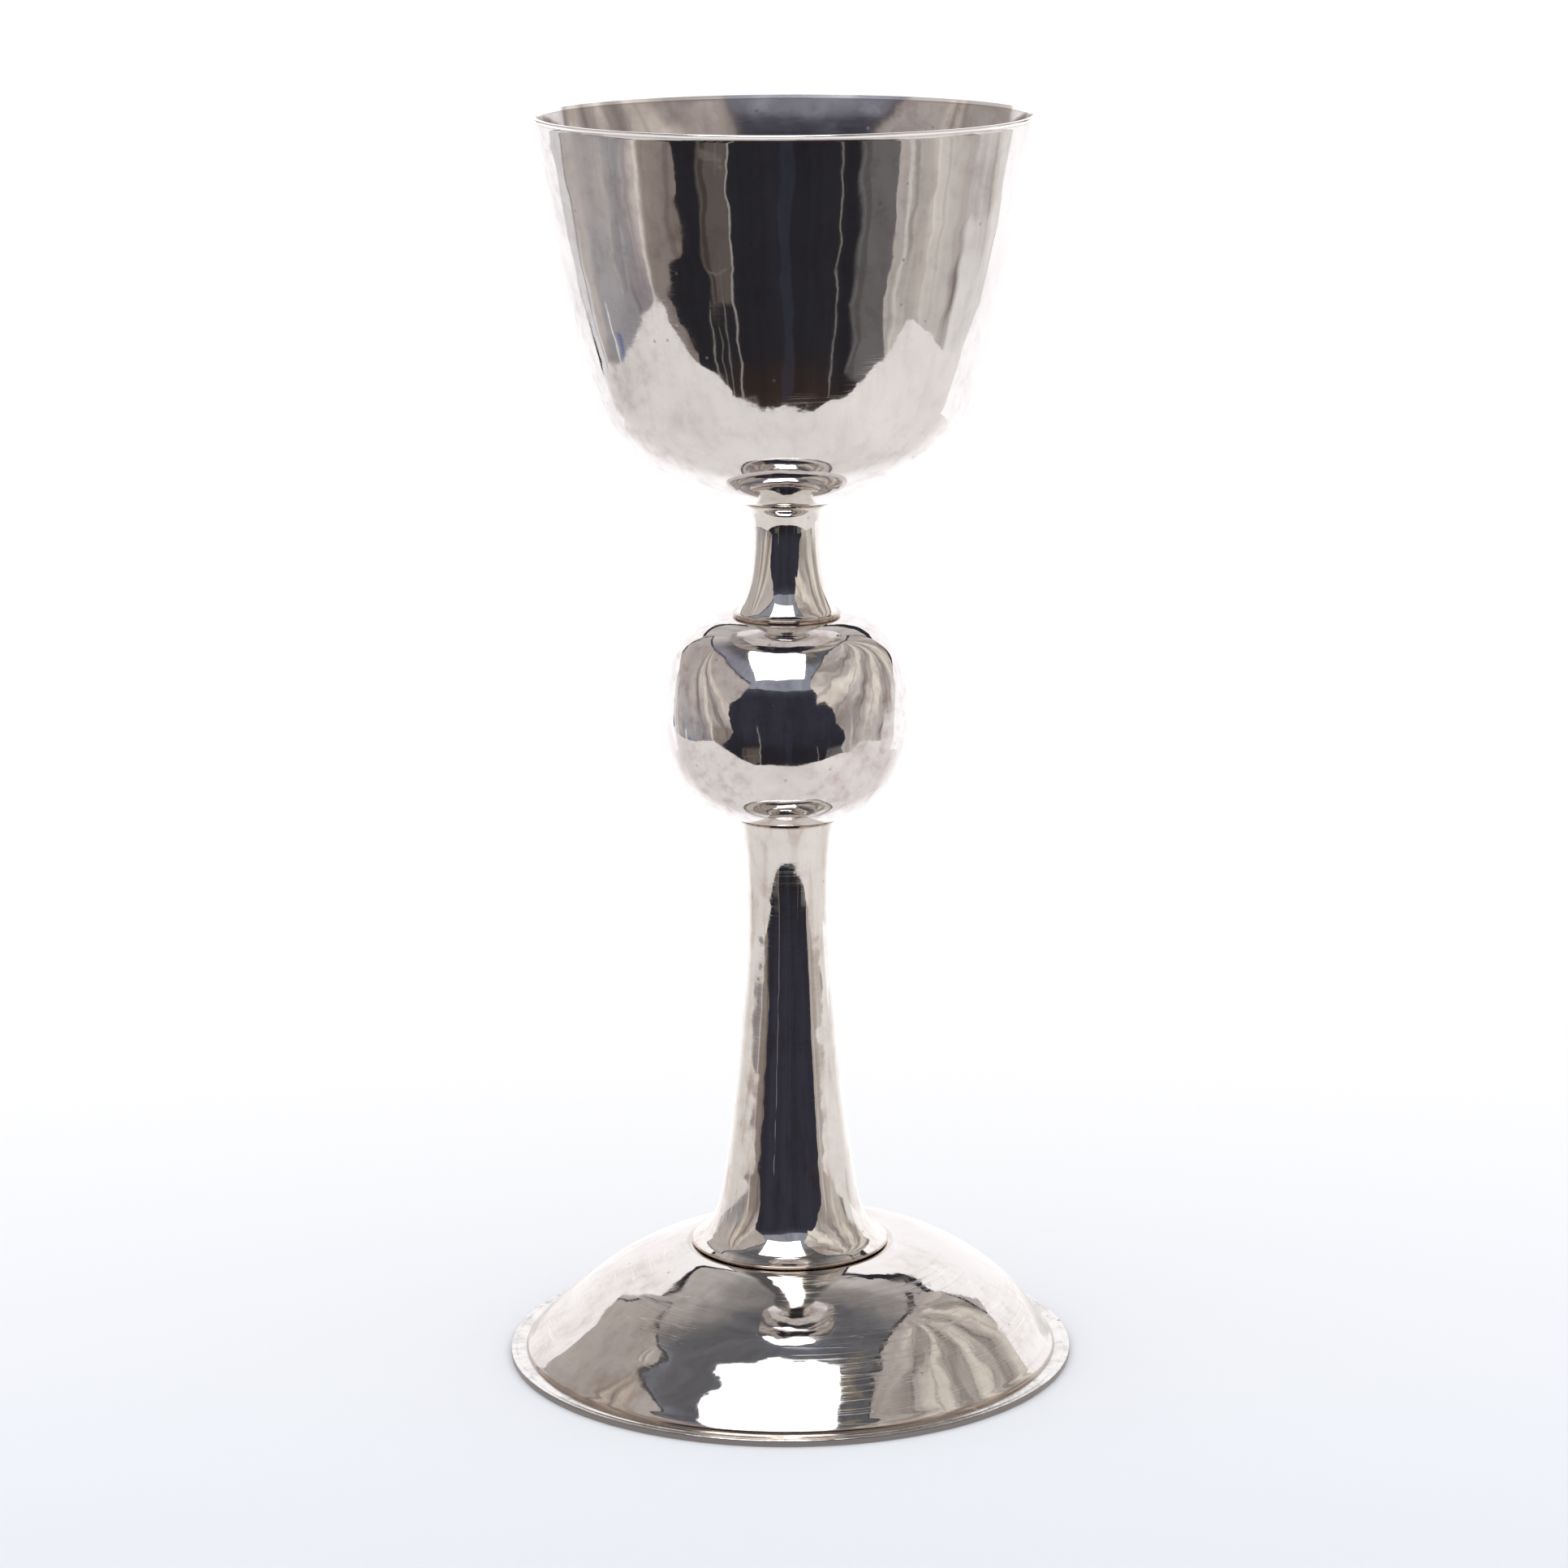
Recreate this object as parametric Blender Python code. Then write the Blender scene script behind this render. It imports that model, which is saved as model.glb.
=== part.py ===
"""A hand-raised silver chalice: ring, domed foot, shank, knop, neck and bowl, each turned round +Z.

Metres, +Z up, origin at the middle of the underside that it stands on.
"""

import math

import bmesh
import bpy
from mathutils import Vector

MM = 0.001

# Clearance left between two pieces that are soldered face to face
SEAT_GAP = 0.3 * MM
# How far a flat seat reaches beyond the piece that stands on it
SEAT_MARGIN = 0.4 * MM

# Foot ring: a flat band round the base of the dome
RING_RADIUS = 56.0 * MM
RING_THICKNESS = 1.4 * MM
RING_LEDGE = 3.0 * MM
RING_INNER_MARGIN = 0.7 * MM
RING_CHAMFER = 0.2 * MM

# Foot: a raised dome, open below
FOOT_HEIGHT = 20.9 * MM
FOOT_WALL = 1.0 * MM
FOOT_BASE_ANGLE = -50.0
FOOT_TOP_ANGLE = -7.0
FOOT_TOP_PULL = 16.5 * MM
FOOT_BASE_PULL = 9.0 * MM

# Shank: the tapering stem under the knop, with a flare that ends in a thin lip
SHANK_HEIGHT = 86.4 * MM
SHANK_LIP_RADIUS = 19.6 * MM
SHANK_LIP_THICKNESS = 0.5 * MM
SHANK_FLARE_RADIUS = 12.6 * MM
SHANK_FLARE_HEIGHT = 16.0 * MM
SHANK_TAPER_ANGLE = -81.8
SHANK_LIP_ANGLE = -18.4
SHANK_WAIST_RADIUS = 7.9 * MM
SHANK_WAIST_DROP = 18.5 * MM
SHANK_TOP_RADIUS = 9.7 * MM
SHANK_TOP_ANGLE = -113.0
SHANK_TOP_PULL = 4.0 * MM
SHANK_WAIST_UPPER_PULL = 5.9 * MM
SHANK_WAIST_LOWER_PULL = 15.7 * MM
SHANK_TAPER_PULL = 3.4 * MM
SHANK_FLARE_PULL = 7.7 * MM
SHANK_LIP_PULL = 5.3 * MM

# Knop: the ball that the hand holds
KNOP_RADIUS = 23.9 * MM
KNOP_UPPER_HEIGHT = 19.3 * MM
KNOP_LOWER_HEIGHT = 20.7 * MM
KNOP_TOP_PULL = 8.0 * MM
KNOP_UPPER_PULL = 12.6 * MM
KNOP_LOWER_PULL = 12.6 * MM
KNOP_UNDER_PULL = 9.2 * MM
KNOP_UNDER_ANGLE = -163.6

# Neck: the waisted stem between knop and bowl, with a thin lip on the knop
NECK_LOWER_HEIGHT = 15.6 * MM
NECK_UPPER_HEIGHT = 6.3 * MM
NECK_LIP_RADIUS = 10.5 * MM
NECK_LIP_THICKNESS = 0.5 * MM
NECK_BASE_RADIUS = 9.5 * MM
NECK_BASE_RISE = 0.3 * MM
NECK_WAIST_RADIUS = 6.45 * MM
NECK_TOP_RADIUS = 8.5 * MM
NECK_TOP_ANGLE = -100.0
NECK_TOP_PULL = 1.6 * MM
NECK_WAIST_UPPER_PULL = 4.0 * MM
NECK_WAIST_LOWER_PULL = 8.3 * MM
NECK_BASE_ANGLE = -54.0
NECK_BASE_PULL = 2.3 * MM

# Bowl: a deep cup of even wall, with a lip that flares a little
BOWL_HEIGHT = 73.9 * MM
BOWL_WALL = 0.9 * MM
BOWL_RIM_RADIUS = 48.2 * MM
BOWL_RIM_ANGLE = 65.0
BOWL_BELLY_RADIUS = 36.4 * MM
BOWL_BELLY_HEIGHT = 20.7 * MM
BOWL_BELLY_ANGLE = 71.6
BOWL_BOTTOM_ANGLE = 11.0
BOWL_BOTTOM_PULL = 18.6 * MM
BOWL_BELLY_LOWER_PULL = 6.9 * MM
BOWL_BELLY_UPPER_PULL = 21.9 * MM
BOWL_RIM_PULL = 9.0 * MM
BOWL_LIP_TURNS = (-30.0, 30.0)

# How far the middle of a flat facet may lie inside the true round
FACET_SAG = 0.08 * MM

# Colour, metallic and roughness of the silver on each piece
SILVER = {
    "bowl": ((0.80, 0.79, 0.77), 0.10),
    "neck": ((0.79, 0.77, 0.74), 0.12),
    "knop": ((0.78, 0.76, 0.74), 0.12),
    "shank": ((0.78, 0.76, 0.73), 0.13),
    "foot": ((0.77, 0.75, 0.72), 0.16),
    "foot_ring": ((0.72, 0.71, 0.70), 0.24),
}

# Levels where the pieces meet, from the table up
RING_TOP = RING_THICKNESS
FOOT_BASE = RING_TOP + SEAT_GAP
FOOT_TOP = FOOT_BASE + FOOT_HEIGHT
SHANK_BASE = FOOT_TOP + SEAT_GAP
SHANK_TOP = SHANK_BASE + SHANK_HEIGHT
KNOP_BASE = SHANK_TOP + SEAT_GAP
KNOP_EQUATOR = KNOP_BASE + KNOP_LOWER_HEIGHT
KNOP_TOP = KNOP_EQUATOR + KNOP_UPPER_HEIGHT
NECK_BASE = KNOP_TOP + SEAT_GAP
NECK_WAIST = NECK_BASE + NECK_LOWER_HEIGHT
NECK_TOP = NECK_WAIST + NECK_UPPER_HEIGHT
BOWL_BASE = NECK_TOP + SEAT_GAP

# Radii that one piece takes from another
FOOT_BASE_RADIUS = RING_RADIUS - RING_LEDGE
FOOT_BORE_RADIUS = FOOT_BASE_RADIUS - FOOT_WALL / math.sin(math.radians(-FOOT_BASE_ANGLE))
RING_INNER_RADIUS = FOOT_BORE_RADIUS - RING_INNER_MARGIN
FOOT_SEAT_RADIUS = SHANK_LIP_RADIUS + SEAT_MARGIN
KNOP_UNDER_SEAT_RADIUS = SHANK_TOP_RADIUS
KNOP_SEAT_RADIUS = NECK_LIP_RADIUS
BOWL_SEAT_RADIUS = NECK_TOP_RADIUS + SEAT_MARGIN


def clear_scene():
    for obj in list(bpy.data.objects):
        bpy.data.objects.remove(obj, do_unlink=True)


def heading(angle):
    """Unit step in the (radius, height) plane, angle in degrees up from outwards."""
    return Vector((math.cos(math.radians(angle)), math.sin(math.radians(angle))))


def sweep(start, start_angle, start_pull, end, end_angle, end_pull, steps):
    """Points after start on the curve that leaves it at one angle and reaches end at another."""
    first = Vector(start)
    last = Vector(end)
    leave = first + start_pull * heading(start_angle)
    arrive = last - end_pull * heading(end_angle)
    points = []
    for step in range(1, steps + 1):
        t = step / steps
        s = 1 - t
        points.append(s**3 * first + 3 * t * s**2 * leave + 3 * t**2 * s * arrive + t**3 * last)
    return points


def inner_side(outline, wall):
    """The outline moved to the left of its direction by the wall, points in the same order."""
    moved = []
    for index, point in enumerate(outline):
        before = outline[max(index - 1, 0)]
        after = outline[min(index + 1, len(outline) - 1)]
        along = (after - before).normalized()
        moved.append(point + wall * Vector((-along.y, along.x)))
    return moved


def silver(name):
    colour, roughness = SILVER[name]
    material = bpy.data.materials.new(name + "_silver")
    material.use_nodes = True
    shader = material.node_tree.nodes["Principled BSDF"]
    shader.inputs["Base Color"].default_value = (*colour, 1)
    shader.inputs["Metallic"].default_value = 1
    shader.inputs["Roughness"].default_value = roughness
    return material


def facets_round(radius):
    """Sides of the polygon that stands for a circle, a multiple of four so that it keeps its full width."""
    half_turn = math.acos(1 - FACET_SAG / radius)
    return 4 * math.ceil(math.pi / half_turn / 4)


def turned(name, outline, closed):
    """One solid spun round +Z from (radius, height) points, whose ends meet unless both lie on the axis."""
    shape = bmesh.new()
    corners = [shape.verts.new((point.x, 0, point.y)) for point in outline]
    edges = [shape.edges.new(pair) for pair in zip(corners, corners[1:])]
    if closed:
        edges.append(shape.edges.new((corners[-1], corners[0])))
    bmesh.ops.spin(
        shape,
        geom=corners + edges,
        axis=(0, 0, 1),
        cent=(0, 0, 0),
        angle=2 * math.pi,
        steps=facets_round(max(point.x for point in outline)),
        use_merge=True,
    )
    bmesh.ops.remove_doubles(shape, verts=shape.verts, dist=0.001 * MM)
    bmesh.ops.recalc_face_normals(shape, faces=shape.faces)
    mesh = bpy.data.meshes.new(name)
    shape.to_mesh(mesh)
    shape.free()
    mesh.shade_smooth()
    mesh.set_sharp_from_angle(angle=math.radians(30))
    mesh.materials.append(silver(name))
    piece = bpy.data.objects.new(name, mesh)
    bpy.context.scene.collection.objects.link(piece)
    return piece


def make_foot_ring():
    outline = [
        Vector((RING_INNER_RADIUS, 0)),
        Vector((RING_RADIUS - RING_CHAMFER, 0)),
        Vector((RING_RADIUS, RING_CHAMFER)),
        Vector((RING_RADIUS, RING_TOP - RING_CHAMFER)),
        Vector((RING_RADIUS - RING_CHAMFER, RING_TOP)),
        Vector((RING_INNER_RADIUS, RING_TOP)),
    ]
    return turned("foot_ring", outline, closed=True)


def make_foot():
    seat_edge = Vector((FOOT_SEAT_RADIUS, FOOT_TOP))
    base_edge = Vector((FOOT_BASE_RADIUS, FOOT_BASE))
    dome = sweep(
        seat_edge,
        FOOT_TOP_ANGLE,
        FOOT_TOP_PULL,
        base_edge,
        FOOT_BASE_ANGLE,
        FOOT_BASE_PULL,
        steps=8,
    )
    outside = [base_edge, *reversed(dome[:-1]), seat_edge, Vector((0, FOOT_TOP))]
    inside = inner_side(outside, FOOT_WALL)
    bore = [point for point in inside[1:] if point.y > FOOT_BASE + FOOT_WALL / 2]
    bore_edge = Vector((FOOT_BORE_RADIUS, FOOT_BASE))
    return turned("foot", [*reversed(outside), bore_edge, *bore], closed=False)


def make_shank():
    top_edge = Vector((SHANK_TOP_RADIUS, SHANK_TOP))
    waist = Vector((SHANK_WAIST_RADIUS, SHANK_TOP - SHANK_WAIST_DROP))
    flare = Vector((SHANK_FLARE_RADIUS, SHANK_BASE + SHANK_FLARE_HEIGHT))
    lip = Vector((SHANK_LIP_RADIUS, SHANK_BASE + SHANK_LIP_THICKNESS))
    outline = [Vector((0, SHANK_TOP)), top_edge]
    outline += sweep(
        top_edge, SHANK_TOP_ANGLE, SHANK_TOP_PULL, waist, -90, SHANK_WAIST_UPPER_PULL, steps=4
    )
    outline += sweep(
        waist, -90, SHANK_WAIST_LOWER_PULL, flare, SHANK_TAPER_ANGLE, SHANK_TAPER_PULL, steps=6
    )
    outline += sweep(
        flare, SHANK_TAPER_ANGLE, SHANK_FLARE_PULL, lip, SHANK_LIP_ANGLE, SHANK_LIP_PULL, steps=6
    )
    outline += [Vector((SHANK_LIP_RADIUS, SHANK_BASE)), Vector((0, SHANK_BASE))]
    return turned("shank", outline, closed=False)


def make_knop():
    seat_edge = Vector((KNOP_SEAT_RADIUS, KNOP_TOP))
    equator = Vector((KNOP_RADIUS, KNOP_EQUATOR))
    under_edge = Vector((KNOP_UNDER_SEAT_RADIUS, KNOP_BASE))
    outline = [Vector((0, KNOP_TOP)), seat_edge]
    outline += sweep(seat_edge, 0, KNOP_TOP_PULL, equator, -90, KNOP_UPPER_PULL, steps=7)
    outline += sweep(
        equator, -90, KNOP_LOWER_PULL, under_edge, KNOP_UNDER_ANGLE, KNOP_UNDER_PULL, steps=7
    )
    outline.append(Vector((0, KNOP_BASE)))
    return turned("knop", outline, closed=False)


def make_neck():
    top_edge = Vector((NECK_TOP_RADIUS, NECK_TOP))
    waist = Vector((NECK_WAIST_RADIUS, NECK_WAIST))
    lip_top = NECK_BASE + NECK_LIP_THICKNESS
    base_edge = Vector((NECK_BASE_RADIUS, lip_top + NECK_BASE_RISE))
    outline = [Vector((0, NECK_TOP)), top_edge]
    outline += sweep(
        top_edge, NECK_TOP_ANGLE, NECK_TOP_PULL, waist, -90, NECK_WAIST_UPPER_PULL, steps=4
    )
    outline += sweep(
        waist, -90, NECK_WAIST_LOWER_PULL, base_edge, NECK_BASE_ANGLE, NECK_BASE_PULL, steps=6
    )
    outline += [
        Vector((NECK_BASE_RADIUS + NECK_BASE_RISE, lip_top)),
        Vector((NECK_LIP_RADIUS, lip_top)),
        Vector((NECK_LIP_RADIUS, NECK_BASE)),
        Vector((0, NECK_BASE)),
    ]
    return turned("neck", outline, closed=False)


def make_bowl():
    half_wall = BOWL_WALL / 2
    lip_centre = Vector((BOWL_RIM_RADIUS - half_wall, BOWL_BASE + BOWL_HEIGHT - half_wall))
    seat_edge = Vector((BOWL_SEAT_RADIUS, BOWL_BASE))
    belly = Vector((BOWL_BELLY_RADIUS, BOWL_BASE + BOWL_BELLY_HEIGHT))
    outer_lip = lip_centre + half_wall * heading(BOWL_RIM_ANGLE - 90)
    outside = [Vector((0, BOWL_BASE)), seat_edge]
    outside += sweep(
        seat_edge,
        BOWL_BOTTOM_ANGLE,
        BOWL_BOTTOM_PULL,
        belly,
        BOWL_BELLY_ANGLE,
        BOWL_BELLY_LOWER_PULL,
        steps=8,
    )
    outside += sweep(
        belly,
        BOWL_BELLY_ANGLE,
        BOWL_BELLY_UPPER_PULL,
        outer_lip,
        BOWL_RIM_ANGLE,
        BOWL_RIM_PULL,
        steps=6,
    )
    lip = [lip_centre + half_wall * heading(BOWL_RIM_ANGLE + turn) for turn in BOWL_LIP_TURNS]
    inside = inner_side(outside, BOWL_WALL)
    return turned("bowl", [*outside, *lip, *reversed(inside)], closed=False)


clear_scene()
for make in (make_foot_ring, make_foot, make_shank, make_knop, make_neck, make_bowl):
    make()
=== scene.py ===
import math

import bpy
import numpy as np
from mathutils import Euler, Matrix, Vector, noise


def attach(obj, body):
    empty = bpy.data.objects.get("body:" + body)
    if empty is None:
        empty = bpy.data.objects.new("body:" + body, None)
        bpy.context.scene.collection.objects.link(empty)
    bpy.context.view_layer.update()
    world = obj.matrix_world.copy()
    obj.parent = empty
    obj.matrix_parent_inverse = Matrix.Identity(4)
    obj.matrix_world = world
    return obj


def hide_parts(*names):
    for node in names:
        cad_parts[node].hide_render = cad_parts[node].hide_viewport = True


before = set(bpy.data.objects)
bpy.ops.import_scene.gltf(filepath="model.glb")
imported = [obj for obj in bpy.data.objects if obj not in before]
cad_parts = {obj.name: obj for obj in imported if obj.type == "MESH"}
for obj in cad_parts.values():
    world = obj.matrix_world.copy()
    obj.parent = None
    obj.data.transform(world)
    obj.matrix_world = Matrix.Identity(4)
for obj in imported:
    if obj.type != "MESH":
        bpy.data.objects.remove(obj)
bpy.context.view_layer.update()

# Lengths are in millimetres and angles in degrees, and turn into metres when a mesh is made.
# Azimuth 0 is the camera's side and grows towards +X. Elevation 0 is the horizon.
mm = 0.001


# Profiles: radius outwards and height upwards

def heading(angle):
    return np.array([math.cos(math.radians(angle)), math.sin(math.radians(angle))])


def bend(start, startAngle, startPull, end, endAngle, endPull):
    # a curve that leaves start at one angle and reaches end at another
    first = np.array(start, float)
    last = np.array(end, float)
    leave = first + startPull * heading(startAngle)
    arrive = last - endPull * heading(endAngle)
    t = np.linspace(0, 1, 240)[:, None]
    s = 1 - t
    return s**3 * first + 3 * t * s**2 * leave + 3 * t**2 * s * arrive + t**3 * last


def line(start, end):
    return np.array([start, end], float)


def arc(centre, radius, startAngle, endAngle, count=6):
    angles = np.linspace(startAngle, endAngle, count)
    return np.array([np.array(centre) + radius * heading(angle) for angle in angles])


def evenly(points, spacing):
    # the same run of points, spaced evenly
    lengths = np.linalg.norm(np.diff(points, axis=0), axis=1)
    along = np.concatenate([[0], np.cumsum(lengths)])
    count = max(1, math.ceil(along[-1] / spacing))
    marks = np.linspace(0, along[-1], count + 1)
    return np.stack([np.interp(marks, along, points[:, axis]) for axis in (0, 1)], axis=1)


def chain(runs):
    # runs joined end to end, without the points that they share
    joined = [runs[0]]
    for run in runs[1:]:
        touching = np.linalg.norm(run[0] - joined[-1][-1]) < 1e-6
        joined.append(run[1:] if touching else run)
    return np.concatenate(joined)


def outwards(points):
    # unit normals of an outline that runs from the bottom up
    along = np.gradient(points, axis=0)
    along /= np.linalg.norm(along, axis=1, keepdims=True)
    return np.stack([along[:, 1], -along[:, 0]], axis=1)


def fade(x, low, high):
    # 0 below low, 1 above high, smooth in between
    t = np.clip((x - low) / (high - low), 0, 1)
    return t * t * (3 - 2 * t)


def fall(x, low, high):
    # 1 below low, 0 above high
    return fade(-x, -high, -low)


# Hammer work and pieces

markSoftness = 0.12   # how softly two blows meet
meanBlow = 0.2   # about the middle of what a blow's depth comes out as
creaseAngle = 35   # faces that meet more sharply than this keep a hard edge


def beaten(points, beat):
    # how far the hammer and the polish left each point from the true round
    heights = np.empty(len(points))
    shift = Vector(beat["shift"])
    for index, point in enumerate(points):
        place = Vector(point) + shift
        swell = noise.noise(place / beat["swellSize"])
        wave = noise.noise(place / beat["waveSize"])
        ripple = noise.noise(place / beat["rippleSize"])
        distances = noise.voronoi(place / beat["markSize"], distance_metric="DISTANCE_SQUARED")[0]
        near, second = distances[:2]
        blow = math.exp(-near / markSoftness) + math.exp(-second / markSoftness)
        blow = -markSoftness * math.log(blow)
        rolling = swell * beat["swell"] + wave * beat["wave"] + ripple * beat["ripple"]
        heights[index] = rolling + (blow - meanBlow) * beat["mark"]
    return heights


def pushed(rings, out, amount):
    # rings moved along their outline's directions by so many millimetres
    sides = rings.shape[1]
    turn = np.arange(sides) / sides * 2 * math.pi
    moved = rings.copy()
    moved[..., 0] += amount * out[:, 0, None] * np.cos(turn)
    moved[..., 1] += amount * out[:, 0, None] * np.sin(turn)
    moved[..., 2] += amount * out[:, 1, None]
    return moved


def revolve(outline, sides):
    # rings of points, one for each point of the outline
    return pushed(np.zeros((len(outline), sides, 3)), outline, 1)


def ringFaces(rows, sides, closed):
    faces = []
    for row in range(rows if closed else rows - 1):
        lower = row * sides
        upper = (row + 1) % rows * sides
        for side in range(sides):
            after = (side + 1) % sides
            faces.append((lower + side, lower + after, upper + after, upper + side))
    return faces


def latheMesh(name, rings, closed=False):
    # a skin over the rings; an open one ends in a point on the axis at both ends
    rows, sides = rings.shape[:2]
    points = rings.reshape(-1, 3)
    faces = ringFaces(rows, sides, closed)
    if not closed:
        ends = np.array([[0, 0, rings[0, :, 2].mean()], [0, 0, rings[-1, :, 2].mean()]])
        points = np.concatenate([points, ends])
        first = rows * sides
        last = (rows - 1) * sides
        for side in range(sides):
            after = (side + 1) % sides
            faces.append((first, after, side))
            faces.append((first + 1, last + side, last + after))
    mesh = bpy.data.meshes.new(name)
    mesh.from_pydata((points * mm).tolist(), [], faces)
    mesh.validate()
    return mesh


def markInside(mesh, first, last, sides):
    # tells the shader which rows of the mesh are on the hidden side
    values = np.zeros(len(mesh.vertices), np.float32)
    values[first * sides:last * sides] = 1
    mesh.attributes.new("inside", "FLOAT", "POINT").data.foreach_set("value", values)


def newObject(name, data):
    made = bpy.data.objects.new(name, data)
    bpy.context.scene.collection.objects.link(made)
    return made


def makePiece(title, node, mesh, look):
    # a visible piece, which takes the place of the solid of that node
    mesh.shade_smooth()
    mesh.set_sharp_from_angle(angle=math.radians(creaseAngle))
    mesh.materials.append(silver(title + "Silver", look))
    piece = newObject("silver" + title.capitalize(), mesh)
    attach(piece, "root")
    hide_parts(node)
    print("made", piece.name, len(mesh.polygons), "faces")


def turned(outline, sides, beat, quiet, lift=None):
    # a solid piece: its outline from the bottom up, beaten except near the quiet stretches
    rings = revolve(outline, sides)
    out = outwards(outline)
    weight = quiet(outline)
    heights = beaten(rings.reshape(-1, 3), beat).reshape(rings.shape[:2]) * weight[:, None]
    if lift is not None:
        heights += lift(rings) * weight[:, None]
    return pushed(rings, out, heights), out


# Shaders

class Wire:
    # a socket in a material, which adds Math nodes when it is reckoned with
    def __init__(self, tree, socket=None):
        self.tree = tree
        self.socket = socket

    def into(self, node, name):
        self.tree.links.new(self.socket, node.inputs[name])

    def node(self, kind, settings, inputs, output=0):
        # any node: its settings first, then what its sockets hold or are fed by
        made = self.tree.nodes.new(kind)
        for name, value in settings.items():
            if name == "stops":
                ramp = made.color_ramp
                while len(ramp.elements) < len(value):
                    ramp.elements.new(0.5)
                for element, (position, colour) in zip(ramp.elements, value):
                    element.position = position
                    element.color = (*colour, 1)
            else:
                setattr(made, name, value)
        for name, value in inputs.items():
            if isinstance(value, Wire):
                value.into(made, name)
            else:
                made.inputs[name].default_value = value
        return Wire(self.tree, made.outputs[output])

    def math(self, operation, *values):
        return self.node("ShaderNodeMath", {"operation": operation}, dict(enumerate(values)))

    def __add__(self, other):
        return self.math("ADD", self, other)

    def __sub__(self, other):
        return self.math("SUBTRACT", self, other)

    def __mul__(self, other):
        return self.math("MULTIPLY", self, other)

    def __rsub__(self, other):
        return self.math("SUBTRACT", other, self)

    __radd__ = __add__
    __rmul__ = __mul__

    def between(self, low, high):
        # 0 below low, 1 above high, smooth in between; low may be the larger
        if low > high:
            return 1 - self.between(high, low)
        settings = {"interpolation_type": "SMOOTHSTEP"}
        inputs = {"Value": self, "From Min": low, "From Max": high}
        return self.node("ShaderNodeMapRange", settings, inputs)

    def tinted(self, first, second):
        # this value as the factor between two colours, which are the node's sockets 6 and 7
        settings = {"data_type": "RGBA", "blend_type": "MIX"}
        return self.node("ShaderNodeMix", settings, {0: self, 6: first, 7: second}, 2)

    def atMost(self, limit):
        return self.math("MINIMUM", self, limit)

    def size(self):
        return self.math("ABSOLUTE", self)

    def grain(self, scale, detail=2, rough=0.5, warp=0):
        # noise at this vector; scale counts features in a metre
        inputs = {"Scale": scale, "Detail": detail, "Roughness": rough, "Distortion": warp}
        return self.node("ShaderNodeTexNoise", {}, {"Vector": self, **inputs})

    def turnedTo(self, angles, stretch):
        # this vector turned and stretched
        rotation = Euler([math.radians(angle) for angle in angles])
        inputs = {"Vector": self, "Rotation": rotation, "Scale": stretch}
        return self.node("ShaderNodeMapping", {}, inputs)


def newMaterial(name):
    material = bpy.data.materials.new(name)
    material.use_nodes = True
    return material, Wire(material.node_tree)


def rgb(red, green, blue):
    return (red, green, blue, 1)


def hairlines(place, angles, fineness, length, width, patchScale):
    # scratches: thin contour lines of a noise that is drawn out one way, in patches
    drawn = place.turnedTo(angles, (length, length, fineness)).grain(1, 1)
    return (drawn - 0.5).size().between(width, 0) * place.grain(patchScale, 1).between(0.5, 0.62)


finish = {
    # grain scales in features to a metre
    "mottleScale": 4.3, "bloomScale": 0.45,   # as shares of the clouds' own scale
    "streakStretch": (330, 330, 26), "brushStretch": (14, 14, 2600), "brushPatches": 32,
    # scratches: turned to, fineness, length, width, patches
    "scratchRuns": [
        ((8, 74, 20), 900, 16, 0.012, 55),
        ((3, 12, 60), 1200, 20, 0.01, 48),
        ((50, 20, 10), 1000, 18, 0.01, 62),
    ],
    "pitScale": 150, "pitEdge": (0.07, 0.03), "pitColour": (0.16, 0.12, 0.1), "pitRough": 0.4,
    "scratchColour": (0.9, 0.88, 0.85), "scratchTint": 0.3, "scratchRough": 0.1, "scourTint": 0.35,
    # the lip's colour is a painted highlight, near white
    "lipHighlightColour": (0.97, 0.96, 0.95), "bandScale": 420,
    "scratchDepth": 0.001, "pitDepth": 0.012, "brushDepth": 0.0004,   # in millimetres
}


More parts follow.
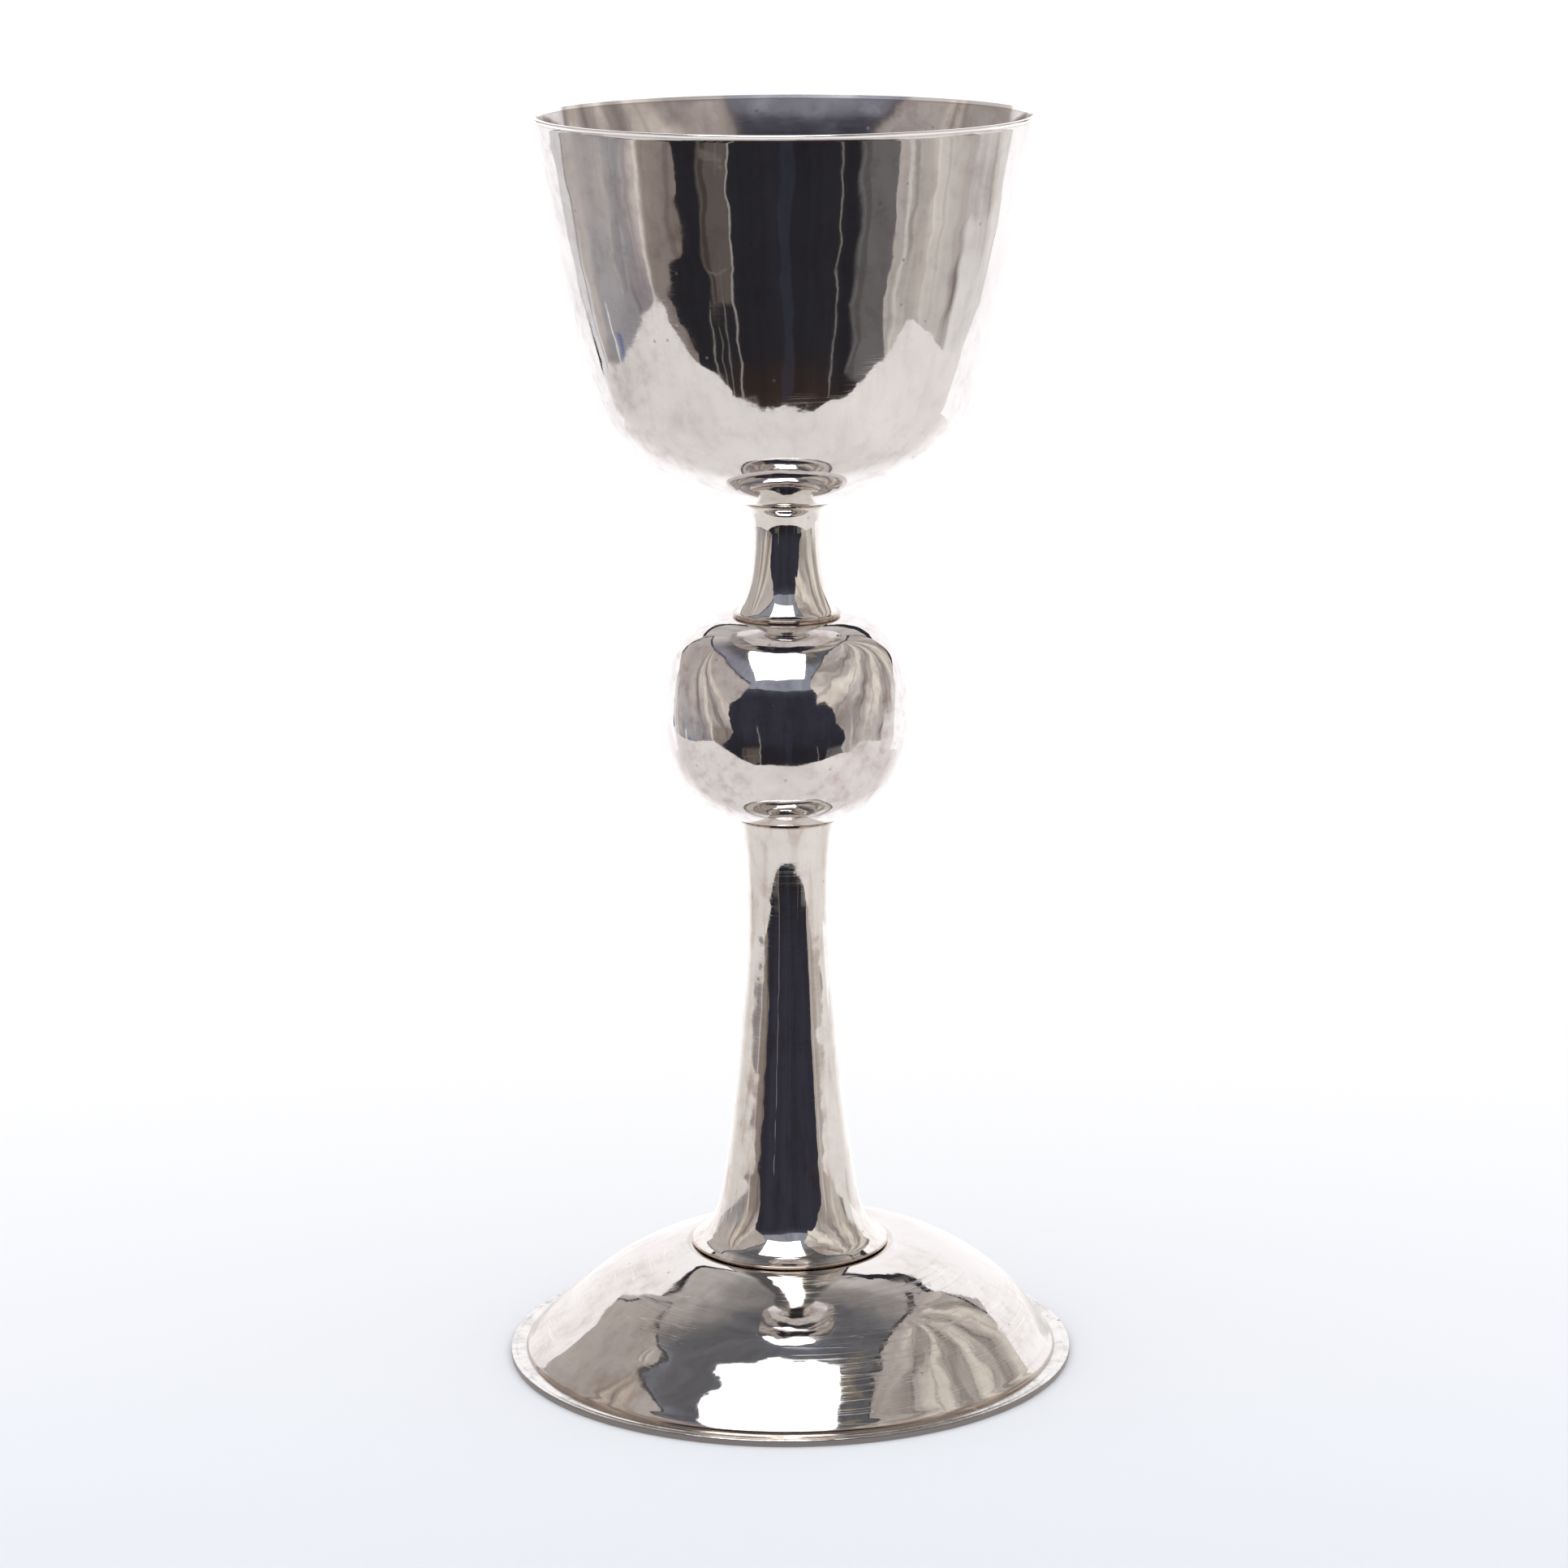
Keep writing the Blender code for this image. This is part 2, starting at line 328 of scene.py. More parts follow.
def silver(name, look):
    # streaks, a browner and darker left side, stains inside and a painted highlight on the lip are only
    # on some pieces
    material, start = newMaterial(name)
    shader = start.tree.nodes["Principled BSDF"]
    place = start.node("ShaderNodeTexCoord", {}, {}, "Object")
    height = start.node("ShaderNodeSeparateXYZ", {}, {"Vector": place}, "Z")

    clouds = place.grain(look["cloudScale"], 5, 0.62, 0.4).between(0.42, 0.7)
    mottle = place.grain(look["cloudScale"] * finish["mottleScale"], 4, 0.6).between(0.45, 0.72)
    bloom = place.grain(look["cloudScale"] * finish["bloomScale"], 2, 0.5).between(0.35, 0.65)
    tarnishAndShade = clouds * look["clouds"] + mottle * bloom * look["mottle"]
    if look.get("streaks"):
        drawn = place.turnedTo((0, 0, 0), finish["streakStretch"])
        runs = drawn.grain(1, 3, 0.6, 0.3).between(0.46, 0.68)
        tarnishAndShade = tarnishAndShade + runs * (clouds * 0.5 + 0.5) * look["streaks"]
    if look.get("darkerLeft"):
        # browner and darker towards the left (-X), where X runs from nearest to farthest in millimetres
        nearest, farthest, amount = look["darkerLeft"]
        aside = start.node("ShaderNodeSeparateXYZ", {}, {"Vector": place}, "X")
        soft = (clouds + mottle) * 0.35 + 0.3
        tarnishAndShade = tarnishAndShade + aside.between(nearest * mm, farthest * mm) * soft * amount
    if look.get("insideStain"):
        inside = start.node("ShaderNodeAttribute", {"attribute_name": "inside"}, {}, "Fac")
        tarnishAndShade = tarnishAndShade + inside * (clouds * 0.4 + 0.6) * look["insideStain"]
    brushed = place.turnedTo((0, 0, 0), finish["brushStretch"]).grain(1, 3, 0.7)
    brushPatches = place.grain(finish["brushPatches"], 2).between(0.42, 0.6)
    scoured = brushed.between(0.5, 0.66) * brushPatches * look["brushed"]
    first, second, third = [hairlines(place, *run) for run in finish["scratchRuns"]]
    scratches = (first + second + third) * look["scratches"]
    spots = place.node("ShaderNodeTexVoronoi", {}, {"Vector": place, "Scale": finish["pitScale"]})
    pits = spots.between(*finish["pitEdge"]) * look["pits"]

    for low, high, soft, amount in look["bands"]:
        # darker bands between two heights: tarnish at the joints, a painted line of shade just under
        # the bowl's lip, and the ring's darker side face
        edge = height + (place.grain(finish["bandScale"], 2) - 0.5) * (soft * mm)
        inBand = edge.between((low - soft) * mm, low * mm) * edge.between((high + soft) * mm, high * mm)
        tarnishAndShade = tarnishAndShade + inBand * amount

    if look.get("lipWearAndHighlight"):
        # a lip that wear keeps clear of tarnish and a little dull, with a painted highlight: its colour
        # is near white
        low, soft, dull = look["lipWearAndHighlight"]
        onLip = height.between((low - soft) * mm, low * mm)
        tarnishAndShade = tarnishAndShade * (1 - onLip)

    tarnishAndShade = tarnishAndShade.atMost(1)
    # the stain colour also takes the painted shade under the bowl's lip
    colour = tarnishAndShade.tinted(rgb(*look["metal"]), rgb(*look["stainAndShade"]))
    colour = (scoured * finish["scourTint"]).tinted(colour, rgb(*look["scour"]))
    colour = pits.tinted(colour, rgb(*finish["pitColour"]))
    colour = (scratches * finish["scratchTint"]).tinted(colour, rgb(*finish["scratchColour"]))
    rough = tarnishAndShade * look["stainRough"] + scoured * look["scourRough"]
    rough = rough + scratches * finish["scratchRough"] + pits * finish["pitRough"] + look["polish"]
    # the painted highlight: the lip is coloured near white
    if look.get("lipWearAndHighlight"):
        colour = onLip.tinted(colour, rgb(*finish["lipHighlightColour"]))
        rough = rough + onLip * dull
    colour.into(shader, "Base Color")
    rough.into(shader, "Roughness")

    shimmer = place.grain(look["shimmerScale"], 2, 0.5) * look["shimmer"]
    relief = shimmer - scratches * finish["scratchDepth"] - pits * finish["pitDepth"]
    relief = relief + brushed * (look["brushed"] * finish["brushDepth"])
    bump = start.node("ShaderNodeBump", {}, {"Strength": 1, "Distance": mm, "Height": relief})
    bump.into(shader, "Normal")
    shader.inputs["Metallic"].default_value = 1
    return material


# The pieces' shared sizes, as in the solids
joint = 0.3   # the gap that solder fills
ringTop = 1.4
footBase = ringTop + joint
footTop = footBase + 20.9
shankBase = footTop + joint
shankTop = shankBase + 86.4
knopBase = shankTop + joint
knopMiddle = knopBase + 20.7
knopTop = knopMiddle + 19.3
neckBase = knopTop + joint
neckWaist = neckBase + 15.6
neckTop = neckWaist + 6.3
bowlBase = neckTop + joint


# Bowl

bowl = {
    "height": 73.9, "wall": 0.9, "rimRadius": 48.15, "lipRadius": 0.22,
    "mouthRadius": 47.8, "mouthDrop": 0.68, "mouthAngle": 77, "mouthPull": 12,
    "bellyRadius": 36.4, "bellyHeight": 20.7, "bellyAngle": 71.6, "bellyLower": 6.9, "bellyUpper": 21.9,
    "seatRadius": 8.9, "bottomAngle": 11, "bottomPull": 18.6,
    "lipFrom": -31, "lipTo": 93, "lipPoints": 6, "edgeInwards": -0.77, "edgeUp": 0.65,
    "clearance": 0.01, "sides": 400, "spacing": 0.8, "fineRows": 12,
    "calmSeat": (0.2, 5), "calmRim": (0, 9), "leastAtRim": 0.12,
    # hammer work
    "shift": (11, 3, 7), "swell": 0.2, "swellSize": 42, "wave": 0.08, "waveSize": 13,
    "ripple": 0.014, "rippleSize": 5, "mark": 0.06, "markSize": 6,
    # silver
    "metal": (0.80, 0.78, 0.765), "stainAndShade": (0.50, 0.46, 0.45), "scour": (0.66, 0.64, 0.62),
    "cloudScale": 70, "clouds": 0.22, "mottle": 0.36, "brushed": 0.1, "scratches": 0.25, "pits": 0.35,
    "polish": 0.03, "stainRough": 0.08, "scourRough": 0.1, "shimmerScale": 310, "shimmer": 0.008,
    "streaks": 0.22, "darkerLeft": (-6, -38, 0.4), "insideStain": 1.0,
    # tarnish at the joint with the neck, then a painted line of shade just under the lip
    "bands": [(bowlBase, bowlBase + 0.5, 0.5, 0.6), (bowlBase + 73, bowlBase + 73.15, 0.15, 0.5)],
    # the lip's painted highlight and wear, from this height up
    "lipWearAndHighlight": (bowlBase + 73.32, 0.12, 0.1),
}


def makeBowl():
    brim = bowlBase + bowl["height"]
    lipRadius = bowl["lipRadius"]
    lipCentre = (bowl["rimRadius"] - lipRadius, brim - lipRadius)
    mouth = (bowl["mouthRadius"], brim - bowl["mouthDrop"])
    belly = (bowl["bellyRadius"], bowlBase + bowl["bellyHeight"])
    seat = (bowl["seatRadius"], bowlBase)
    bellyAngle = bowl["bellyAngle"]
    under = bend(seat, bowl["bottomAngle"], bowl["bottomPull"], belly, bellyAngle, bowl["bellyLower"])
    side = bend(belly, bellyAngle, bowl["bellyUpper"], mouth, bowl["mouthAngle"], bowl["mouthPull"])
    outer = chain([
        evenly(line((1.5, bowlBase), seat), 2),
        evenly(chain([under, side]), bowl["spacing"]),
    ])

    def quiet(points):
        least = bowl["leastAtRim"]
        fromSeat = fade(points[:, 0] - bowl["seatRadius"], *bowl["calmSeat"])
        return fromSeat * (least + (1 - least) * fade(brim - points[:, 1], *bowl["calmRim"]))

    rings, out = turned(outer, bowl["sides"], bowl, quiet)
    # the lip, measured from the mouth: a bevel, a small round edge and a flat top
    lip = arc(lipCentre, lipRadius, bowl["lipFrom"], bowl["lipTo"], bowl["lipPoints"]) - np.array(mouth)
    lip = np.concatenate([[0.1 * lip[0]], lip, [(bowl["edgeInwards"], bowl["edgeUp"])]])
    lipRings = pushed(rings[-1][None] + np.zeros((len(lip), 1, 1)), lip, 1)
    lipRings[..., 2] = np.minimum(lipRings[..., 2], brim - bowl["clearance"])
    inner = pushed(rings, out, -bowl["wall"])[::-1]
    # every row of the inside near the mouth, then every other one
    keep = [*range(bowl["fineRows"]), *range(bowl["fineRows"], len(inner) - 1, 2), len(inner) - 1]
    rows = np.concatenate([rings, lipRings, inner[keep]])
    mesh = latheMesh("bowl", rows)
    markInside(mesh, len(rings) + len(lipRings), len(rows), bowl["sides"])
    makePiece("bowl", "bowl", mesh, bowl)


# Joints of the neck and the shank

def jointBelow(piece, under, base, lastAngle):
    # out over the piece below, up its recessed seam and round the thin lip
    radius = piece["lipRadius"]
    edge = piece["edge"]
    seam = radius - piece["recess"]
    return [
        line((1, under), (seam, under)),
        line((seam, under), (seam, base)),
        line((seam, base), (radius - edge, base)),
        arc((radius - edge, base + edge), edge, -90, 0, 4),
        arc((radius - edge, base + piece["lip"] - edge), edge, 0, lastAngle, 4),
    ]


def jointAbove(top, recess, over):
    # in to the recessed seam, up to the piece above and in to the axis
    seam = top[0] - recess
    return [
        line(top, (seam, top[1])),
        line((seam, top[1]), (seam, over)),
        line((seam, over), (1, over)),
    ]


# Neck

neck = {
    "lipRadius": 10.5, "lip": 0.5, "baseRadius": 9.5, "baseRise": 0.3, "baseAngle": 126,
    "basePull": 2.3, "waistRadius": 6.45, "waistUpper": 4.6, "waistLower": 8.3, "topRadius": 8.5,
    "topAngle": 71, "topPull": 1.0, "recess": 0.7, "edge": 0.15, "lipSpacing": 0.2,
    "sides": 150, "spacing": 0.45,
    # hammer work
    "shift": (3, 31, 5), "swell": 0.05, "swellSize": 18, "wave": 0.03, "waveSize": 8,
    "ripple": 0.006, "rippleSize": 3, "mark": 0.015, "markSize": 4,
    # silver
    "metal": (0.80, 0.78, 0.75), "stainAndShade": (0.52, 0.43, 0.36), "scour": (0.66, 0.64, 0.6),
    "cloudScale": 110, "clouds": 0.18, "mottle": 0.14, "brushed": 0.1, "scratches": 0.2, "pits": 0.3,
    "polish": 0.035, "stainRough": 0.08, "scourRough": 0.1, "shimmerScale": 380, "shimmer": 0.012,
    "streaks": 0.2,
    "bands": [(neckBase - 0.2, neckBase + 0.45, 0.25, 0.75), (neckTop - 0.15, neckTop + 1, 0.2, 0.6)],
}


def makeNeck():
    lipTop = neckBase + neck["lip"]
    base = (neck["baseRadius"], lipTop + neck["baseRise"])
    waist = (neck["waistRadius"], neckWaist)
    top = (neck["topRadius"], neckTop)
    lower = bend(base, neck["baseAngle"], neck["basePull"], waist, 90, neck["waistLower"])
    upper = bend(waist, 90, neck["waistUpper"], top, neck["topAngle"], neck["topPull"])
    lipEdge = (neck["lipRadius"] - neck["edge"], lipTop)
    outline = chain([
        *jointBelow(neck, knopTop, neckBase, 90),
        evenly(line(lipEdge, (base[0] + neck["baseRise"], lipTop)), neck["lipSpacing"]),
        evenly(lower, neck["spacing"]),
        evenly(upper, neck["spacing"]),
        *jointAbove(top, neck["recess"], bowlBase),
    ])

    def quiet(points):
        height = points[:, 1]
        return fade(height, lipTop + 0.4, lipTop + 3) * fall(height, neckTop - 2, neckTop - 0.1)

    rings = turned(outline, neck["sides"], neck, quiet)[0]
    mesh = latheMesh("neck", rings)
    makePiece("neck", "neck", mesh, neck)


# Knop

knop = {
    "radius": 23.9, "topPull": 8, "upperPull": 12.6, "lowerPull": 12.6, "underPull": 9.2,
    "underAngle": 16.4, "seatRadius": 10.5, "underSeatRadius": 9.7,
    "calmSeat": (9.8, 13), "calmBase": 1, "sides": 270, "spacing": 0.55,
    # hammer work
    "shift": (5, 17, 2), "swell": 0.12, "swellSize": 26, "wave": 0.035, "waveSize": 9,
    "ripple": 0.02, "rippleSize": 3.4, "mark": 0.06, "markSize": 4.6,
    # silver
    "metal": (0.79, 0.77, 0.76), "stainAndShade": (0.58, 0.505, 0.495), "scour": (0.66, 0.64, 0.62),
    "cloudScale": 95, "clouds": 0.5, "mottle": 0.7, "brushed": 0.12, "scratches": 0.4, "pits": 0.3,
    "polish": 0.03, "stainRough": 0.08, "scourRough": 0.08, "shimmerScale": 350, "shimmer": 0.014,
    "bands": [(knopBase, knopBase + 0.3, 0.3, 0.7), (knopTop - 0.25, knopTop + 1, 0.2, 0.3)],
}


def makeKnop():
    under = (knop["underSeatRadius"], knopBase)
    middle = (knop["radius"], knopMiddle)
    seat = (knop["seatRadius"], knopTop)
    lower = bend(under, knop["underAngle"], knop["underPull"], middle, 90, knop["lowerPull"])
    upper = bend(middle, 90, knop["upperPull"], seat, 180, knop["topPull"])
    outline = chain([
        evenly(line((1, knopBase), under), 2),
        evenly(lower, knop["spacing"]),
        evenly(upper, knop["spacing"]),
        evenly(line(seat, (1, knopTop)), 2),
    ])

    def quiet(points):
        fromSeat = fade(points[:, 0], *knop["calmSeat"])
        return fromSeat * fade(points[:, 1], knopBase, knopBase + knop["calmBase"])

    rings = turned(outline, knop["sides"], knop, quiet)[0]
    mesh = latheMesh("knop", rings)
    makePiece("knop", "knop", mesh, knop)


# Shank

shank = {
    "lipRadius": 19.6, "lip": 0.5, "lipAngle": 161.6, "lipPull": 5.3, "flareRadius": 12.6,
    "flareHeight": 16, "flarePull": 7.7, "taperAngle": 98.2, "taperPull": 3.4,
    "waistRadius": 7.9, "waistDrop": 18.5, "waistLower": 15.7, "waistUpper": 5.9,
    "topRadius": 9.7, "topAngle": 67, "topPull": 4, "recess": 1.2, "topRecess": 0.6, "edge": 0.17,
    "sides": 230, "spacing": 0.6,
    # hammer work
    "shift": (9, 1, 23), "swell": 0.14, "swellSize": 34, "wave": 0.05, "waveSize": 11,
    "ripple": 0.014, "rippleSize": 4, "mark": 0.05, "markSize": 5.5,
    # silver
    "metal": (0.80, 0.78, 0.75), "stainAndShade": (0.54, 0.45, 0.39), "scour": (0.66, 0.63, 0.59),
    "cloudScale": 85, "clouds": 0.26, "mottle": 0.34, "brushed": 0.15, "scratches": 0.45, "pits": 0.45,
    "polish": 0.03, "stainRough": 0.08, "scourRough": 0.1, "shimmerScale": 340, "shimmer": 0.008,
    "streaks": 0.8, "darkerLeft": (0, -7, 0.2),
    "bands": [
        (shankBase - 0.2, shankBase + 0.42, 0.25, 0.85),
        (shankTop - 0.2, shankTop + 1, 0.2, 0.5),
    ],
}


def makeShank():
    lip = (shank["lipRadius"], shankBase + shank["lip"])
    flare = (shank["flareRadius"], shankBase + shank["flareHeight"])
    waist = (shank["waistRadius"], shankTop - shank["waistDrop"])
    top = (shank["topRadius"], shankTop)
    taperAngle = shank["taperAngle"]
    flaring = bend(lip, shank["lipAngle"], shank["lipPull"], flare, taperAngle, shank["flarePull"])
    taper = bend(flare, taperAngle, shank["taperPull"], waist, 90, shank["waistLower"])
    upper = bend(waist, 90, shank["waistUpper"], top, shank["topAngle"], shank["topPull"])
    outline = chain([
        *jointBelow(shank, footTop, shankBase, 70),
        evenly(flaring, shank["spacing"])[1:],
        evenly(taper, shank["spacing"]),
        evenly(upper, shank["spacing"]),
        *jointAbove(top, shank["topRecess"], knopBase),
    ])

    def quiet(points):
        fromLip = np.hypot(points[:, 0] - lip[0], points[:, 1] - lip[1])
        return fade(fromLip, 0.8, 5) * fall(points[:, 1], shankTop - 3, shankTop - 0.1)

    rings = turned(outline, shank["sides"], shank, quiet)[0]
    mesh = latheMesh("shank", rings)
    makePiece("shank", "shank", mesh, shank)


# Foot

foot = {
    "baseRadius": 53.0, "seatRadius": 20.0, "wall": 1.0, "baseAngle": 130, "basePull": 9,
    "topAngle": 173, "topPull": 16.5, "roll": 1.6, "rollStart": 0.8, "rollEnd": 0.6, "rollSpacing": 0.2,
    "slump": 1.1, "slumpTurn": 25, "slumpFrom": (20, 30), "slumpTo": (44, 53),
    "hollowFrom": 1.4, "boreUp": 0.6, "calmSeat": (19.8, 24), "calmBase": 4,
    "sides": 480, "spacing": 0.7,
    # hammer work
    "shift": (1, 9, 13), "swell": 0.18, "swellSize": 32, "wave": 0.04, "waveSize": 11,
    "ripple": 0.018, "rippleSize": 3.4, "mark": 0.05, "markSize": 4.6,
    # silver
    "metal": (0.73, 0.71, 0.69), "stainAndShade": (0.46, 0.39, 0.34), "scour": (0.58, 0.55, 0.51),
    "cloudScale": 75, "clouds": 0.24, "mottle": 0.3, "brushed": 1.0, "scratches": 1.5, "pits": 0.4,
    "polish": 0.03, "stainRough": 0.09, "scourRough": 0.1, "shimmerScale": 340, "shimmer": 0.016,
    "darkerLeft": (-6, -38, 0.62), "insideStain": 0.7,
    "bands": [(footBase - 0.4, footBase + 0.35, 0.35, 1.0), (footTop - 0.05, footTop + 1, 0.05, 0.4)],
}


def makeFoot():
    seat = np.array([foot["seatRadius"], footTop])
    base = np.array([foot["baseRadius"], footBase])
    dome = bend(base, foot["baseAngle"], foot["basePull"], seat, foot["topAngle"], foot["topPull"])
    dome = evenly(dome, foot["spacing"])
    clear = dome[np.linalg.norm(dome - base, axis=1) > foot["roll"]]
    climb = clear[1] - clear[0]
    meetAngle = math.degrees(math.atan2(climb[1], climb[0]))
    start = (foot["baseRadius"], ringTop)
    roll = bend(start, 90, foot["rollStart"], clear[0], meetAngle, foot["rollEnd"])
    outer = chain([evenly(roll, foot["rollSpacing"]), clear, evenly(line(seat, (1, footTop)), 1.5)])

    def quiet(points):
        fromSeat = fade(points[:, 0], *foot["calmSeat"])
        return fromSeat * fade(points[:, 1], footBase, footBase + foot["calmBase"])

    def slump(rings):
        # the dome stands a little higher towards one side than the other
        turn = np.arctan2(rings[..., 1], rings[..., 0]) - math.radians(foot["slumpTurn"])
        radius = np.hypot(rings[..., 0], rings[..., 1])
        slumps = fade(radius, *foot["slumpFrom"]) * fall(radius, *foot["slumpTo"])
        return foot["slump"] * np.cos(turn) * slumps

    rings, out = turned(outer, foot["sides"], foot, quiet, slump)
    inner = pushed(rings, out, -foot["wall"])
    below = [row for row in range(len(outer)) if outer[row, 1] > footBase + foot["hollowFrom"]]
    inner = inner[below[::2] + [below[-1]]][::-1]
    boreRadius = foot["baseRadius"] - foot["wall"] / math.sin(math.radians(foot["baseAngle"]))
    bore = line((boreRadius, footBase + foot["boreUp"]), (boreRadius, ringTop))
    rows = np.concatenate([inner, revolve(bore, foot["sides"]), rings])
    mesh = latheMesh("foot", rows)
    markInside(mesh, 0, len(inner) + 1, foot["sides"])
    makePiece("foot", "foot", mesh, foot)


# Foot ring

ring = {
    "radius": 56.0, "top": ringTop, "inner": 51.0, "edge": 0.28, "shownFrom": 52.2,
    "wornFrom": (53.2, 53.8), "lineRadius": 54.9, "lineWidth": 0.35, "lineDepth": 0.08,
    "sides": 520, "spacing": 0.22,
    # hammer work
    "shift": (7, 7, 7), "swell": 0.03, "swellSize": 22, "wave": 0.02, "waveSize": 7,
    "ripple": 0.02, "rippleSize": 2.2, "mark": 0.01, "markSize": 4,
    # silver
    "metal": (0.76, 0.745, 0.73), "stainAndShade": (0.23, 0.215, 0.215), "scour": (0.55, 0.53, 0.5),
    "cloudScale": 130, "clouds": 0.35, "mottle": 0.45, "brushed": 1.0, "scratches": 1.0, "pits": 1.0,
    "polish": 0.14, "stainRough": 0.2, "scourRough": 0.14, "shimmerScale": 600, "shimmer": 0.006,
    # the band darkens the ring's side face, up to just under its top
    "bands": [(-1.0, 1.2, 0.15, 1.0)],
}


def makeRing():
    edge = ring["edge"]
    radius = ring["radius"]
    top = ring["top"]
    shownFrom = ring["shownFrom"]
    outline = chain([
        evenly(line((ring["inner"], 0), (radius - edge, 0)), 1),
        arc((radius - edge, edge), edge, -90, 0, 5),
        evenly(line((radius, edge), (radius, top - edge)), ring["spacing"]),
        arc((radius - edge, top - edge), edge, 0, 90, 5),
        evenly(line((radius - edge, top), (shownFrom, top)), ring["spacing"]),
        evenly(line((shownFrom, top), (ring["inner"], top)), 1),
    ])
    rings = revolve(outline, ring["sides"])
    heights = beaten(rings.reshape(-1, 3), ring).reshape(rings.shape[:2])
    worn = -np.abs(heights)
    distance = np.hypot(rings[..., 0], rings[..., 1])
    onTop = fade(rings[..., 2], top - 0.1, top) * fade(distance, *ring["wornFrom"])
    onSide = fade(distance, radius - 0.1, radius)
    fromLine = (outline[:, 0] - ring["lineRadius"]) / ring["lineWidth"]
    groove = np.exp(-(fromLine**2)) * ring["lineDepth"]
    rings[..., 2] += (worn - groove[:, None]) * onTop
    rings[..., :2] *= (1 + worn * onSide / radius)[..., None]
    mesh = latheMesh("foot_ring", rings, closed=True)
    makePiece("ring", "foot_ring", mesh, ring)


makeRing()
makeFoot()
makeShank()
makeKnop()
makeNeck()
makeBowl()


# Studio

viewedFrom = 130   # the height that azimuths and elevations are seen from, in the knop


def glow(name):
    # light of the colour painted on the card
    material, start = newMaterial(name)
    start.tree.nodes.clear()
    paint = start.node("ShaderNodeAttribute", {"attribute_name": "paint"}, {}, "Color")
    shine = start.node("ShaderNodeEmission", {}, {"Color": paint, "Strength": 1})
    shine.into(start.tree.nodes.new("ShaderNodeOutputMaterial"), "Surface")
    material.cycles.emission_sampling = "NONE"
    return material


def card(name, points, colours, seen="glossy"):
    # a sheet of light round the object, from a grid of points and their colours
    rows, columns = points.shape[:2]
    faces = []
    for row in range(rows - 1):
        for column in range(columns - 1):
            corner = row * columns + column
            faces.append((corner, corner + 1, corner + columns + 1, corner + columns))
    mesh = bpy.data.meshes.new(name)
    mesh.from_pydata(points.reshape(-1, 3).tolist(), [], faces)
    paint = mesh.color_attributes.new("paint", "FLOAT_COLOR", "POINT")
    values = np.ones((rows * columns, 4), np.float32)
    values[:, :3] = np.clip(colours.reshape(-1, 3), 0, None)
    paint.data.foreach_set("color", values.ravel())
    mesh.materials.append(glow(name + "Glow"))
    sheet = newObject(name, mesh)
    sheet.visible_camera = seen == "camera"
    sheet.visible_glossy = seen == "glossy"
    sheet.visible_diffuse = seen == "diffuse"
    sheet.visible_shadow = False


def blend(first, second, amount):
    # colours between two others, where amount is 0 to 1 at each point
    first = np.asarray(first, float)
    return first + (np.asarray(second, float) - first) * np.asarray(amount)[..., None]


def drift(x, y, seed):
    # soft unevenness over a card, from about -1 to 1
    total = np.zeros(x.shape)
    maker = np.random.default_rng(seed)
    for octave in range(1, 7):
        angle, phase, windPhase = maker.uniform(0, 2 * math.pi, 3)
        stretch = octave**1.3
        across = x * math.cos(angle) + y * math.sin(angle)
        along = x * math.sin(angle) - y * math.cos(angle)
        wind = np.sin(stretch * along * 0.7 + windPhase)
        total += np.sin(stretch * across + phase + 1.3 * wind) / octave
    return total / 2


def grid(across, up, columns, rows):
    # one value that runs along each row and one that runs from row to row
    return np.meshgrid(np.linspace(*across, columns), np.linspace(*up, rows))


def follow(x, places):
    # a value read off a list of (x, value)
    xs, values = np.array(places, float).T
    return np.interp(x, xs, values)


def sheetAt(azimuth, elevation, reach, centre=viewedFrom):
    # points at a distance from the axis
    turn = np.radians(azimuth)
    rise = np.tan(np.radians(elevation))
    points = np.stack([np.sin(turn) * reach, -np.cos(turn) * reach, centre + rise * reach], axis=-1)
    return points * mm


def skyAt(azimuth, elevation, radius, centre=0):
    # points on a sphere
    turn = np.radians(azimuth)
    rise = np.radians(elevation)
    level = np.cos(rise)
    points = np.stack([np.sin(turn) * level, -np.cos(turn) * level, np.sin(rise)], axis=-1)
    return (points * radius + (0, 0, centre)) * mm


def patched(colour, azimuth, elevation, things, softest, seed):
    # upright patches with wavy edges: middle, half width, from and to elevation, colour, strength
    waver = 0.9 * drift(azimuth / 30, elevation / 3, seed)
    waver = waver + 0.3 * drift(azimuth / 30, elevation / 1.1, seed + 1)
    climb = elevation + waver
    for middle, width, low, high, tint, strength in things:
        across = np.abs(azimuth + waver - middle)
        soft = min(softest, (high - low) / 4)
        tall = fade(climb, low - 0.8, low + 0.8) * fall(climb, high - soft, high + soft)
        colour = blend(colour, tint, fall(across, width * 0.75, width) * tall * strength)
    return colour


